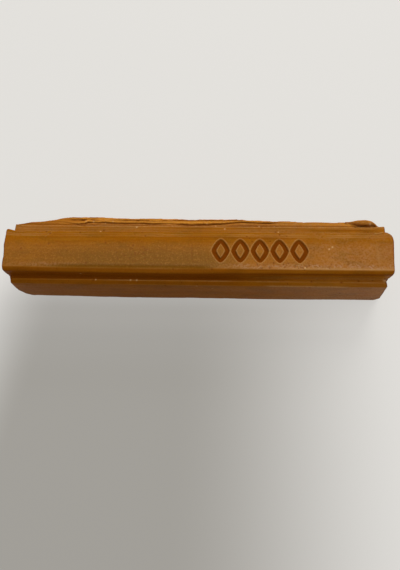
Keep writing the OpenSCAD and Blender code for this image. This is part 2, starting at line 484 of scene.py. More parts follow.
# Where the bead starts to hook down to the rim, and how far its tip is drawn
BEAD_HOOK_X = 37.0
BEAD_HOOK_PAST = 0.2
BEAD_HOOK_CURVE = 1.5
BEAD_HOOK_RIGHT = 0.25
BEAD_HOOK_FORWARD = 1.1
BEAD_HOOK_UP = 0.2

# Tones of the bead
BEAD_PALE = 0.2
DAPPLE = 0.3
DAPPLE_FACING = (0.2, 0.9)
DAPPLE_LENGTHS = (0.8, 0.5, 0.5)
DAPPLE_LEVELS = (-0.2, 0.5)
SEAM_HOLLOW = 0.4
BEAD_BLOOM = 0.7
BEAD_SHEEN = 0.2
# Painted glint on the bead near its hook
GLINT = 0.8
GLINT_BACK = 0.15
GLINT_RADIUS = 0.2

# Noises of the wax: cells per millimetre, and from which level to which they show
FINE_DETAIL = 4
CLOUD_SCALE = 0.16
CLOUD_LEVELS = (0.35, 0.68)
STREAK_SCALE = 1.0
STREAK_STRETCH = (0.06, 1.6, 1.6)
STREAK_LEVELS = (0.45, 0.72)
STREAK_SHARE = 0.55
BLOTCH_SCALE = 0.55
BLOTCH_STRETCH = (0.45, 1.0, 1.0)
BLOTCH_LEVELS = (0.42, 0.7)
BLOTCH_SHARE = 0.55
GRAIN_SCALE = 2.4
GRAIN_LEVELS = (0.45, 0.68)
LIGHT_GRAIN_SCALE = 2.9
LIGHT_GRAIN_LEVELS = (0.5, 0.7)
GRAIN_SHARES = (0.15, 0.36)
DOT_SCALE = 1.3
DOT_RADIUS = 0.16
DOT_SHARE = 0.5
DOT_CLOUDS = (0.48, 0.4)

# Bloom with painted sheen, and pale wear with painted light: levels of a noise, and the shares that they
# stand for
HAZE_SCALE = 1.1
HAZE_PATCHES = (0.36, 0.64, 0.3, 1.0)
HAZE_GRAIN = (0.6, 0.42, 0.15, 1.0)
RUB_GRAIN = (0.3, 0.6, 0.5, 1.0)

# Surface of the wax
BUMP_STRENGTH = 0.35
BUMP_DEPTH = 0.05
BUMP_GRAIN = 0.6
ROUGH_LEVELS = (0.3, 0.7)
SMOOTHER = 0.06
ROUGHER = 0.08
GLOSS_LEVELS = (0.04, 0.34)
GLOSS_TINT = (1.0, 0.98, 0.6, 1.0)
WAX_IOR = 1.44
DEEP_LIGHT_SHARE = 0.1
DEEP_LIGHT_RADIUS = (1.0, 0.4, 0.1)
DEEP_LIGHT_DEPTH = 0.25

# Floor: half its width in metres, and the soft shade that lies on it in front of the bar
FLOOR_HALF = 1.5
FLOOR_GLOW = 0.75
SHADE_RIGHT_X = (50.0, -5.0)
SHADE_LEFT_X = (-51.0, -30.0)
SHADE_SLANT = -0.19
SHADE_BACK_Y = (2.0, -9.0)
SHADE_DEEPER_Y = (0.0, -26.0)
SHADE_DEEPER_SHARES = (0.7, 1.0)
SHADE_FRONT_Y = (-120.0, -60.0)

# Lamps and room: places and sizes in metres, and brightness, where 1 is white
KEY_RADIANCE = 10.7
KEY_PLACE = (0.25, 0.6, 0.5)
KEY_AIM = (0.0, 0.0, 0.0)
KEY_SIZE = (0.36, 0.36)
CEILING_RADIANCE = 1.1
CEILING_PLACE = (0.15, 0.13, 0.7)
CEILING_AIM = (0.15, 0.13, 0.0)
CEILING_SIZE = (0.7, 0.46)
LAMP_COLOUR = (1.0, 0.985, 0.96)
ROOM_RADIANCE = 0.4
ROOM_COLOUR = (1.0, 0.99, 0.975, 1.0)

# Camera, as the photograph was taken, with its clip distances in metres
CAMERA_TARGET = (1.01, -6.3, 9.0)
CAMERA_ELEVATION = 65.86
CAMERA_AZIMUTH = 7.11
CAMERA_ROLL = -5.81
CAMERA_DISTANCE = 109.14
CAMERA_LENS = 33.16
CAMERA_SENSOR = 36.0
CAMERA_NEAR = 0.001
CAMERA_FAR = 10.0

# Chance numbers, the same in each run
SEED = 41
LATTICE_SIZE = 4096
LATTICE_PRIMES = (73856093, 19349663, 83492791)
LAYER_PRIME = 6972593
RANDOM = np.random.default_rng(SEED)
LATTICE = RANDOM.uniform(-1.0, 1.0, LATTICE_SIZE)


def srgb(red, green, blue):
    """Linear colour with alpha from 0 to 255 display values."""
    def linear(value):
        share = value / 255
        return share / 12.92 if share <= 0.04045 else ((share + 0.055) / 1.055) ** 2.4
    return (linear(red), linear(green), linear(blue), 1.0)


def ease(low, high, value):
    """0 below low, 1 above high, smooth between them; low may lie above high."""
    t = np.clip((value - low) / (high - low), 0.0, 1.0)
    return t * t * (3.0 - 2.0 * t)


def bump_at(value, centre, width):
    """Smooth bump of height 1 round a centre."""
    return np.exp(-((value - centre) / width) ** 2)


def noise_at(points, wavelengths, layer=0):
    """Smooth noise from -1 to 1 at each point, with its own wavelength along each axis."""
    scaled = points / np.array(wavelengths)
    cell = np.floor(scaled).astype(np.int64)
    share = scaled - cell
    share = share * share * (3.0 - 2.0 * share)
    total = np.zeros(len(points))
    for corner in itertools.product((0, 1), repeat=3):
        key_x, key_y, key_z = ((cell + corner) * LATTICE_PRIMES).T
        key = key_x ^ key_y ^ key_z ^ (layer * LAYER_PRIME)
        weight = np.where(corner, share, 1.0 - share).prod(axis=1)
        total += weight * LATTICE[key % LATTICE_SIZE]
    return total


def waves(points, table):
    """Sum of noises, each with its height and its wavelengths."""
    return sum(height * noise_at(points, lengths, layer) for layer, (height, lengths) in enumerate(table))


def strongest(shares, **masks):
    """The largest of several masks at each point, each times its share."""
    return np.maximum.reduce([shares[name] * mask for name, mask in masks.items()])


def solid_copy(node, name):
    """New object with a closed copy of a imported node's mesh."""
    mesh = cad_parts[node].data.copy()
    mesh.name = name
    mesh.materials.clear()
    form = bmesh.new()
    form.from_mesh(mesh)
    bmesh.ops.remove_doubles(form, verts=form.verts, dist=WELD_DISTANCE * MM)
    form.to_mesh(mesh)
    form.free()
    piece = bpy.data.objects.new(name, mesh)
    bpy.context.scene.collection.objects.link(piece)
    return piece


def apply_modifiers(piece):
    """Turn what a piece's modifiers make into its mesh."""
    graph = bpy.context.evaluated_depsgraph_get()
    made = bpy.data.meshes.new_from_object(piece.evaluated_get(graph))
    piece.modifiers.clear()
    old = piece.data
    piece.data = made
    bpy.data.meshes.remove(old)
    made.name = piece.name


def even_copy(node, name, voxel):
    """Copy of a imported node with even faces."""
    piece = solid_copy(node, name)
    remesh = piece.modifiers.new("even", "REMESH")
    remesh.mode = "VOXEL"
    remesh.voxel_size = voxel * MM
    apply_modifiers(piece)
    return piece


def fit_to_node(piece, node):
    """Draw a piece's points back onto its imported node."""
    wrap = piece.modifiers.new("fit", "SHRINKWRAP")
    wrap.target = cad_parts[node]
    wrap.wrap_method = "NEAREST_SURFACEPOINT"
    apply_modifiers(piece)


def soften(piece, rounds):
    """Round a piece's edges a little, as a casting's are."""
    smooth = piece.modifiers.new("round", "SMOOTH")
    smooth.factor = SMOOTHING
    smooth.iterations = rounds
    apply_modifiers(piece)


def refine(piece, chosen):
    """Halve the edges of the faces that chosen picks from the middles of all faces."""
    mesh = piece.data
    middles = np.empty(len(mesh.polygons) * 3, np.float32)
    mesh.polygons.foreach_get("center", middles)
    picked = np.flatnonzero(chosen(middles.reshape(-1, 3).astype(float) / MM))
    form = bmesh.new()
    form.from_mesh(mesh)
    form.faces.ensure_lookup_table()
    edges = {edge for index in picked for edge in form.faces[index].edges}
    bmesh.ops.subdivide_edges(form, edges=sorted(edges, key=lambda e: e.index), cuts=1, use_grid_fill=True)
    form.to_mesh(mesh)
    form.free()


def read_mesh(piece):
    """Points in millimetres and normals of a piece's vertices."""
    mesh = piece.data
    count = len(mesh.vertices)
    points = np.empty(count * 3, np.float32)
    normals = np.empty(count * 3, np.float32)
    mesh.vertices.foreach_get("co", points)
    mesh.vertex_normals.foreach_get("vector", normals)
    return points.reshape(-1, 3).astype(float) / MM, normals.reshape(-1, 3).astype(float)


def write_points(piece, points):
    """Set a piece's vertices from points in millimetres, no lower than the floor."""
    points = points.copy()
    points[:, 2] = np.maximum(points[:, 2], 0.0)
    piece.data.vertices.foreach_set("co", (points * MM).astype(np.float32).ravel())
    piece.data.update()


def write_attributes(piece, **layers):
    """Store numbers from 0 to 1 per vertex for the materials to read."""
    for name, values in layers.items():
        layer = piece.data.attributes.new(name, "FLOAT", "POINT")
        layer.data.foreach_set("value", np.clip(values, 0.0, 1.0).astype(np.float32))


def scattered(points, count, inside):
    """Places picked at random from the points that inside keeps."""
    return points[RANDOM.choice(np.flatnonzero(inside), count, replace=False)]


def spots(points, places, radius_range):
    """Small round spots at the places, 1 at their middles."""
    total = np.zeros(len(points))
    for place in places:
        radius = RANDOM.uniform(*radius_range)
        near = ((points - place) ** 2).sum(axis=1) / radius ** 2
        total = np.maximum(total, np.exp(-near))
    return total


def line_mark(x, y, start, end, width):
    """1 on a straight scratch between two places on the broad face, 0 away from it."""
    (x0, y0), (x1, y1) = start, end
    dx, dy = x1 - x0, y1 - y0
    share = np.clip(((x - x0) * dx + (y - y0) * dy) / (dx * dx + dy * dy), 0.0, 1.0)
    return np.exp(-((x - x0 - share * dx) ** 2 + (y - y0 - share * dy) ** 2) / width ** 2)


def lozenge_stroke(x, y):
    """Distance from the edge of the nearest punched stroke, negative inside it."""
    nearest = np.full(len(x), np.inf)
    for mark in range(MARKS):
        across = np.abs(x - MARK_FIRST_X - mark * MARK_PITCH) / MARK_HALF_WIDTH + TINY
        along = np.abs(y - MARK_Y) / MARK_HALF_HEIGHT + TINY
        size = (across ** MARK_FULLNESS + along ** MARK_FULLNESS) ** (1 / MARK_FULLNESS)
        slope = np.hypot(
            (across / size) ** (MARK_FULLNESS - 1) / MARK_HALF_WIDTH,
            (along / size) ** (MARK_FULLNESS - 1) / MARK_HALF_HEIGHT,
        )
        nearest = np.minimum(nearest, np.abs(size - 1.0) / slope - MARK_STROKE / 2)
    return nearest


def edge_nearness(y, z, width):
    """1 on the long edges and 0 away from them, each times its paleness."""
    total = np.zeros(len(y))
    for edge_y, edge_z, pale in LONG_EDGES:
        total = np.maximum(total, pale * np.exp(-((y - edge_y) ** 2 + (z - edge_z) ** 2) / width ** 2))
    return total


def burr_pull(points):
    """How far the burrs at the corners draw each point out."""
    pull = np.zeros_like(points)
    for (burr_x, burr_y), drawn in BURRS:
        near = np.exp(-((points[:, 0] - burr_x) ** 2 + (points[:, 1] - burr_y) ** 2) / BURR_RADIUS ** 2)
        pull[:, :2] += near[:, None] * drawn
    return pull


def front_bulge(on):
    """How far forward and how far down the lip and the front layer have spread."""
    lip_start = ease(*LIP_START_Y, on.y)
    lip = lip_start * ease(*LIP_END_Y, on.y)
    forward = (LIP_BULGE + LIP_MIDDLE_BULGE * bump_at(on.x, LIP_MIDDLE_X, LIP_MIDDLE_WIDTH)) * lip
    sharp_edge = lip_start * ease(*SHARP_EDGE_END_Y, on.y)
    forward = np.maximum(forward, SHARP_EDGE_BULGE * ease(*SHARP_EDGE_X, on.x) * sharp_edge)
    forward *= ease(*LIP_FROM_MIDDLE, on.from_middle)
    low_edge = ease(*LOW_EDGE_Y, on.y) * ease(*LOW_EDGE_HEIGHTS, on.z)
    right_corner = low_edge * ease(*RIGHT_CORNER_X, on.x)
    low_edge *= ease(*LOW_EDGE_X, on.x) * (1.0 - LOW_EDGE_RIGHT_LOSS * ease(*LOW_EDGE_RIGHT_X, on.x))
    down = LOW_EDGE_DOWN * low_edge - RIGHT_CORNER_LIFT * right_corner
    return forward + LOW_EDGE_FORWARD * low_edge, down


def needs_detail(middles):
    """Whether each face of the bar lies on the punched marks or near a long edge."""
    x, y, z = middles.T
    reach = MARK_HALF_WIDTH + MARK_STROKE
    on_marks = (x > MARK_FIRST_X - reach) & (x < MARK_LAST_X + reach)
    on_marks &= (z > TOP - DETAIL_DEPTH) & (y > PANEL_FRONT)
    return on_marks | (edge_nearness(y, z, DETAIL_WIDTH) > DETAIL_NEARNESS)


def bar_faces(points, normals):
    """The bar's points, their heights from its middle, and masks of the faces that they lie on."""
    x, y, z = points.T
    on = SimpleNamespace(points=points, normals=normals, x=x, y=y, z=z, from_middle=np.abs(z - MIDDLE))
    on.edge = edge_nearness(y, z, EDGE_WIDTH)
    on.upward = ease(*UP_FACING, normals[:, 2])
    on.panel = on.upward * ease(*PANEL_HEIGHTS, z)
    on.flat = ease(*FLAT_FACING, np.abs(normals[:, 2])) * ease(*FLAT_FROM_MIDDLE, on.from_middle)
    on.crown = ease(*CROWN_START_Y, y) * ease(*CROWN_END_Y, y) * on.upward
    on.neck = on.upward * ease(*NECK_START_Y, y)
    on.front = ease(*FLAT_FACING, -normals[:, 1]) * ease(*FRONT_END_Y, y)
    on.worn = ease(*WEAR_START_X, x) * ease(*WEAR_END_X, x)
    on.worn = on.worn * ease(PANEL_FRONT + WEAR_REACH, PANEL_FRONT, y) * ease(*WEAR_HEIGHTS, z)
    on.worn *= 1.0 - WEAR_SLOPE_LOSS * ease(PANEL_FRONT, BELLY_FRONT, y)
    on.left_shade = ease(*LEFT_SHADE_X, x)
    return on


def bar_marks(on):
    """Masks of the marks, pits, specks and crumbs on the bar, and of a painted lit spot."""
    points, x, y = on.points, on.x, on.y
    stroke = lozenge_stroke(x, y)
    marks = SimpleNamespace()
    marks.punched = on.panel * ease(*MARK_WALL, stroke)
    marks.lip = on.panel * bump_at(stroke, MARK_LIP_DISTANCE, MARK_LIP_WIDTH)

    pitted = (stroke > PIT_CLEARANCE) & (np.abs(x) < PIT_END_X)
    marks.pit = spots(points, scattered(points, PITS, pitted), PIT_RADII)
    level = pitted & (on.upward > CLUSTER_UPWARD)
    (left_x, left_y), (reach_x, reach_y) = LEFT_CLUSTER, LEFT_CLUSTER_REACH
    left_cluster = level & (np.hypot((x - left_x) / reach_x, (y - left_y) / reach_y) < 1)
    right_cluster = level & (x > RIGHT_CLUSTER_START_X) & (x < RIGHT_CLUSTER_END_X)
    right_cluster &= np.abs(y - RIGHT_CLUSTER_Y) < RIGHT_CLUSTER_REACH
    for cluster in (left_cluster, right_cluster):
        fine_pits = spots(points, scattered(points, CLUSTER_PITS, cluster), CLUSTER_RADII)
        marks.pit = np.maximum(marks.pit, fine_pits)

    loose_specks = scattered(points, LOOSE_SPECKS, on.normals[:, 2] < LOOSE_SPECK_UPWARD)
    marks.speck = spots(points, np.concatenate([SPECKS, loose_specks]), SPECK_RADII)
    marks.lit_spot = spots(points, [LIT_SPOT], LIT_SPOT_RADII)
    marks.scratch = on.panel * line_mark(x, y, *SCRATCH)
    marks.end_mark = on.panel * line_mark(x, y, *END_MARK)
    marks.score = on.panel * line_mark(x, y, *SCORE)
    marks.crumbling = ease(*CRUMBLE_X, x) * bump_at(y, CRUMBLE_Y, CRUMBLE_WIDTH)
    marks.crumbling *= ease(*CRUMBLE_HEIGHTS, on.z)
    marks.crumbs = ease(*CRUMB_LEVELS, noise_at(points, CRUMB_LENGTHS, layer=4))
    return marks


def bar_relief(on, marks):
    """The bar's points where casting, punching and wear have left them."""
    rise = waves(on.points, BAR_WAVES)
    nicks = ease(*NICK_LEVELS, noise_at(on.points, NICK_LENGTHS, layer=3))
    rise -= NICK_DEPTH * nicks * edge_nearness(on.y, on.z, NICK_WIDTH)
    rise += MARK_LIP * marks.lip - MARK_DEPTH * marks.punched
    rise -= PIT_DEPTH * marks.pit
    rise += (
        SPECK_HEIGHT * marks.speck
        - SCRATCH_DEPTH * marks.scratch
        + SCRATCH_DEPTH * marks.end_mark
        - SCRATCH_DEPTH * marks.score
    )
    rise += CRUMB_HEIGHT * marks.crumbling * (marks.crumbs - CRUMB_MEAN)
    moved = on.points + on.normals * rise[:, None]
    moved[:, 2] -= WEAR_DEPTH * on.worn
    forward, down = front_bulge(on)
    moved[:, 1] -= forward
    moved[:, 2] -= down
    return moved + burr_pull(on.points)


def bar_haze(on):
    """Bloom with painted sheen, and painted shade, of the bar."""
    # Pale bloom with painted sheen on the front strip, the right part and the crown
    strip = on.flat * ease(*STRIP_Y, on.y)
    bloom = strip * (STRIP_BLOOM + STRIP_BLOOM_RIGHT * ease(*STRIP_BLOOM_RIGHT_X, on.x))
    bloom += PANEL_BLOOM * on.flat * ease(*PANEL_BLOOM_X, on.x) * ease(*PANEL_BLOOM_Y, on.y)
    bloom += STRIP_BLOOM_LEFT * strip * bump_at(on.x, STRIP_BLOOM_LEFT_X, STRIP_BLOOM_LEFT_WIDTH)
    bloom *= 1.0 - on.worn
    bloom += CROWN_BLOOM * on.crown * ease(*CROWN_BLOOM_X, on.x)
    # Painted shade: darker lower left broad face, worn edge and crown
    dusk = on.flat * ease(*DUSK_Y, on.y) * ease(*DUSK_X, on.x)
    dusk *= DUSK_LEFT + DUSK_INNER * ease(*DUSK_INNER_X, on.x)
    dusk += WORN_DUSK * on.worn + CROWN_DUSK * on.crown
    return bloom, dusk


def recess_tones(on):
    """Shade under the lip and on the bevel, light on the ledge, and light in the crease behind it."""
    recess = ease(*RECESS_END_Y, on.y) * ease(*RECESS_FROM_MIDDLE, on.from_middle)
    recess *= ease(*RECESS_START_Y, on.y)
    wall = ease(*WALL_FACING, -on.normals[:, 1])
    under_lip = wall * ease(*UNDER_LIP_FROM_MIDDLE, on.from_middle)
    slope = ease(*SLOPE_START_Y, on.y) * ease(*SLOPE_END_Y, on.y) * ease(*SLOPE_FROM_MIDDLE, on.from_middle)
    bevel = ease(*BEVEL_END_Y, on.y) * ease(*BEVEL_FACING, np.abs(on.normals[:, 2]))
    shade = RECESS_SHADE * recess * np.maximum(on.left_shade, under_lip)
    shade += BEVEL_SHADE * bevel * ease(*BEVEL_SHADE_X, on.x)
    shade = np.maximum(shade, slope * (SLOPE_SHADE + SLOPE_SHADE_LEFT * on.left_shade))
    light = (recess * (1.0 - wall) + bevel) * ease(*LEDGE_LIGHT_X, on.x)
    from_crease = np.hypot(on.y - BELLY_FRONT + CREASE_FORWARD, on.from_middle - LEDGE_RISE)
    crease = bump_at(from_crease, 0.0, CREASE_WIDTH) * (1.0 - on.left_shade)
    return shade, light, crease


def bar_sheen(on, marks):
    """How glossy the bar is: most on the broad face, less on the front and at the ends."""
    mirror = ease(*MIRROR_FACING, np.abs(on.normals[:, 2])) * ease(*MIRROR_FROM_MIDDLE, on.from_middle)
    mirror *= ease(*MIRROR_Y, on.y) * (1.0 - marks.punched) * (1.0 - on.worn)
    gloss = on.front * (FRONT_GLOSS + FRONT_GLOSS_RIGHT * ease(*FRONT_GLOSS_X, on.x))
    gloss *= 1.0 - FRONT_DULLING * ease(*FRONT_DULL_HEIGHTS, on.z) * on.left_shade
    end = ease(*END_FACING, np.abs(on.normals[:, 0]))
    return strongest(SHEEN_SHARES, mirror=mirror, front=gloss, end=end)


def bar_lines(on):
    """Pale lines along the neck, and dark ones along the neck and the crown."""
    line_noise = noise_at(on.points, LINE_LENGTHS, layer=6)
    lines = ease(*PALE_LINE_LEVELS, line_noise) + LEFT_LINES * ease(*LEFT_LINES_X, on.x)
    dark = ease(*DARK_LINE_LEVELS, line_noise) * (CROWN_DARK_LINES * on.crown + NECK_DARK_LINES * on.neck)
    return on.neck * (NECK_PALE + NECK_PALE_LINES * lines), dark


def bar_rims(on):
    """Masks of the painted highlights on the rims along the bar and of the painted shade at its ends."""
    from_line = np.hypot(on.y - FRONT_FACE, on.z - LEDGE + FRONT_BEVEL)
    front_line = bump_at(from_line, 0.0, FRONT_LINE_WIDTH)
    endward = np.abs(on.normals[:, 0])
    end = ease(*END_RIM_START_FACING, endward) * ease(*END_RIM_END_FACING, endward)
    front = ease(*FRONT_RIM_X, on.x) * bump_at(on.y, FRONT_RIM_Y, FRONT_RIM_WIDTH)
    return SimpleNamespace(
        pour=ease(*RIM_Y, on.y) * ease(*RIM_HEIGHTS, on.z),
        front=front * ease(*FRONT_RIM_HEIGHTS, on.z),
        front_line=front_line * ease(*FRONT_LINE_START_X, on.x) * ease(*FRONT_LINE_END_X, on.x),
        end=end * ease(*END_RIM_X, np.abs(on.x)),
    )


def bar_tones(on, marks):
    """Tones of the bar by the names that its material reads."""
    bloom, dusk = bar_haze(on)
    shade, ledge_light, crease_light = recess_tones(on)
    pale_lines, dark_lines = bar_lines(on)
    rims = bar_rims(on)
    pale = strongest(
        PALE_SHARES,
        # Rubbed edges: wear and a painted edge highlight
        rubbed=on.edge * (RUB_MEAN + RUB_SPREAD * noise_at(on.points, RUB_LENGTHS, layer=5)),
        lip=marks.lip,
        scratch=marks.scratch,
        end_mark=marks.end_mark,
        # Painted highlight along the front of the broad face
        front_rim=rims.front,
        ledge=ledge_light,
        crease=crease_light,
        # Painted highlight along the bevel of the front layer
        front_line=rims.front_line,
        lit_spot=marks.lit_spot,
        crumbs=marks.crumbling * marks.crumbs,
        neck=pale_lines,
        # Painted highlight along the pour side's rim
        rim=rims.pour,
    )
    hollow = strongest(
        HOLLOW_SHARES,
        punched=marks.punched,
        pit=marks.pit,
        score=marks.score,
        shade=shade * (1.0 - on.edge),
        # Painted shade round the ends
        end_rim=rims.end * (1.0 - marks.lit_spot),
        lines=dark_lines,
        # Painted shade on the front face, deeper to the left
        front=on.front * ease(*FRONT_SHADE_X, on.x),
    )
    dust = marks.speck * (SPECK_DUST + SPECK_DUST_UP * on.upward)
    # Painted light on the lit spot, carried with the dust
    dust = np.maximum(dust, LIT_SPOT_DUST * marks.lit_spot)
    return dict(pale=pale, hollow=hollow, bloom=bloom, dusk=dusk, sheen=bar_sheen(on, marks), dust=dust)


def make_bar():
    """The moulded bar: rubbed edges, flow unevenness, pits, scratches and punched lozenges, with painted
    highlights, sheen and shade among its tones.
    """
    bar = even_copy("stick_body", "wax_bar", BAR_VOXEL)
    refine(bar, needs_detail)
    fit_to_node(bar, "stick_body")
    soften(bar, BAR_ROUNDS)
    on = bar_faces(*read_mesh(bar))
    marks = bar_marks(on)
    write_points(bar, bar_relief(on, marks))
    write_attributes(bar, **bar_tones(on, marks))
    return bar


def skin_sheets(points):
    """The skin's points, where they lie on its torn sheets, and the cracks and lines there."""
    x, y, z = points.T
    at = SimpleNamespace(points=points, x=x, y=y, z=z, behind=y - POUR_PLANE)
    at.unrolled = at.behind + SKIN_TOP - z
    place = np.stack([x, at.unrolled, np.zeros(len(x))], axis=1)
    at.torn = ease(TEAR_LEFT, TEAR_LEFT + TEAR_LEFT_RUN, x)
    at.torn *= ease(TEAR_RIGHT + TEAR_RIGHT_RUN, TEAR_RIGHT, x)
    jagged = bump_at(x, TEAR_LEFT + TEAR_LEFT_RUN, JAGGED_WIDTH)
    drift = waves(place, SHEET_WAVES)
    drift += (FRAY + JAGGED_FRAY * jagged) * noise_at(place, FRAY_LENGTHS, layer=2)
    sheet = at.unrolled / SHEET_PITCH + drift
    at.share = sheet - np.floor(sheet)
    open_crack = ease(*CRACK_LEVELS, noise_at(place, CRACK_LENGTHS, layer=3))
    at.crack = open_crack * bump_at(np.minimum(at.share, 1.0 - at.share), 0.0, CRACK_WIDTH)
    at.lines = noise_at(place, SKIN_LINE_LENGTHS, layer=4)
    at.strength = CALM_RELIEF + TORN_RELIEF * at.torn
    return at


def skin_relief(at, normals):
    """The skin's points with its sheets raised, its upper edge lapped over and its fuller places filled."""
    raised = ease(*SHEET_EDGE, at.share) * (1.0 - at.share)
    rise = at.strength * (SHEET_RISE * (raised - SHEET_MEAN) - CRACK_DEPTH * at.crack)
    rise += SKIN_LINE_HEIGHT * at.lines
    rise += SKIN_CRUMB_HEIGHT * at.torn * noise_at(at.points, SKIN_CRUMB_LENGTHS, layer=5)
    free = ease(*FREE_DEPTHS, at.behind)
    moved = at.points + normals * (free * rise)[:, None]
    lap = ease(*LAP_START_X, at.x) * ease(*LAP_END_X, at.x)
    lap = lap * ease(*LAP_DEPTHS, at.behind) * ease(*LAP_HEIGHTS, at.z)
    moved[:, 1] -= LAP_FORWARD * lap
    moved[:, 2] += LAP_UP * lap
    on_ramp = ease(*RAMP_START_X, at.x) * ease(*RAMP_END_X, at.x)
    moved[:, 1] += RAMP_FILL * free * (on_ramp + bump_at(at.x, FULL_X, FULL_WIDTH))
    moved[:, 1] += FOOT_FILL * ease(*FOOT_DEPTHS, at.behind) * bump_at(at.x, FOOT_X, FOOT_WIDTH)
    return moved + burr_pull(at.points)


def skin_tones(at):
    """Tones of the skin by the names that its material reads, with painted highlights and painted shade
    among them.
    """
    on_top = ease(*SKIN_TOP_HEIGHTS, at.z)
    # Painted shadow in the gap over the rim
    gap = on_top * bump_at(at.behind, GAP_DEPTH, GAP_WIDTH)
    # Painted highlight on the turned front edge
    turned_edge = on_top * ease(*TURNED_DEPTHS, at.behind)
    # Painted shadow under the bead
    bead_hollow = bump_at(at.y, BEAD_HOLLOW_Y, BEAD_HOLLOW_WIDTH)
    bead_hollow *= ease(*BEAD_HOLLOW_START_X, at.x) * ease(*BEAD_HOLLOW_END_X, at.x)
    # Painted light left of the bead
    bead_foot = on_top * bump_at(at.x, BEAD_FOOT_X, BEAD_FOOT_WIDTH)
    smooth_right = ease(TEAR_RIGHT, TEAR_RIGHT + TEAR_RIGHT_RUN, at.x)
    # Painted highlight on the raised part of each sheet
    pale = at.strength * ease(*BRIGHT_START, at.share) * ease(*BRIGHT_END, at.share)
    pale *= ease(*BRIGHT_UNROLLED, at.unrolled)
    pale += LINE_PALE * at.lines + SMOOTH_PALE * smooth_right + BEAD_FOOT_PALE * bead_foot
    dusty = (at.torn * on_top > SKIN_SPECK_TORN) & (at.behind < SKIN_SPECK_DEPTH)
    specks = spots(at.points, scattered(at.points, SKIN_SPECKS, dusty), SKIN_SPECK_RADII)
    return dict(
        pale=np.maximum(pale, TURNED_PALE * turned_edge),
        hollow=np.maximum.reduce([
            # Painted shade in the cracks
            CRACK_HOLLOW * at.strength * at.crack,
            BEAD_HOLLOW * bead_hollow,
            GAP_HOLLOW * gap,
        ]),
        bloom=TORN_BLOOM * ease(*TORN_BLOOM_UNROLLED, at.unrolled) * at.torn + SMOOTH_BLOOM * smooth_right,
        dusk=TORN_DUSK * ease(*TORN_DUSK_UNROLLED, at.unrolled) * at.torn,
        sheen=np.full(len(at.x), SKIN_SHEEN),
        dust=SKIN_DUST * specks,
    )


def make_skin():
    """The torn skin: sheets that lie over each other like shingles, with cracks between them."""
    skin = even_copy("pour_skin", "torn_skin", SKIN_VOXEL)
    soften(skin, SKIN_ROUNDS)
    points, normals = read_mesh(skin)
    at = skin_sheets(points)
    write_points(skin, skin_relief(at, normals))
    write_attributes(skin, **skin_tones(at))
    return skin


def make_bead():
    """The rolled bead of overflowed wax at the right end of the pour side."""
    bead = even_copy("overflow_bead", "rolled_bead", BEAD_VOXEL)
    soften(bead, BEAD_ROUNDS)
    points, normals = read_mesh(bead)
    x, y, z = points.T
    axis_y = (bead_low.y + bead_high.y) / 2
    axis_z = (bead_low.z + bead_high.z) / 2
    curl = np.arctan2(z - axis_z, y - axis_y)
    seam = bump_at(curl, SEAM_START + SEAM_TWIST * (x - bead_low.x), SEAM_WIDTH)
    rise = waves(points, BEAD_WAVES) - SEAM_DEPTH * seam
    moved = points + normals * rise[:, None]
    moved[:, 1] -= BEAD_LEAN * ease(axis_y, bead_low.y, y)
    hook = ease(BEAD_HOOK_X, bead_high.x + BEAD_HOOK_PAST, x)
    moved[:, 0] += BEAD_HOOK_RIGHT * hook
    moved[:, 1] -= BEAD_HOOK_FORWARD * hook ** BEAD_HOOK_CURVE
    moved[:, 2] += BEAD_HOOK_UP * hook
    write_points(bead, moved)
    dapples = ease(*DAPPLE_LEVELS, noise_at(points, DAPPLE_LENGTHS, layer=2))
    # Painted glint near the hook
    from_glint = np.hypot(x - BEAD_HOOK_X, y - bead_low.y - GLINT_BACK)
    write_attributes(
        bead,
        pale=BEAD_PALE + DAPPLE * ease(*DAPPLE_FACING, normals[:, 2]) * dapples,
        hollow=SEAM_HOLLOW * seam,
        bloom=np.full(len(x), BEAD_BLOOM),
        dusk=np.zeros(len(x)),
        sheen=np.full(len(x), BEAD_SHEEN),
        dust=GLINT * bump_at(from_glint, 0.0, GLINT_RADIUS),
    )
    return bead


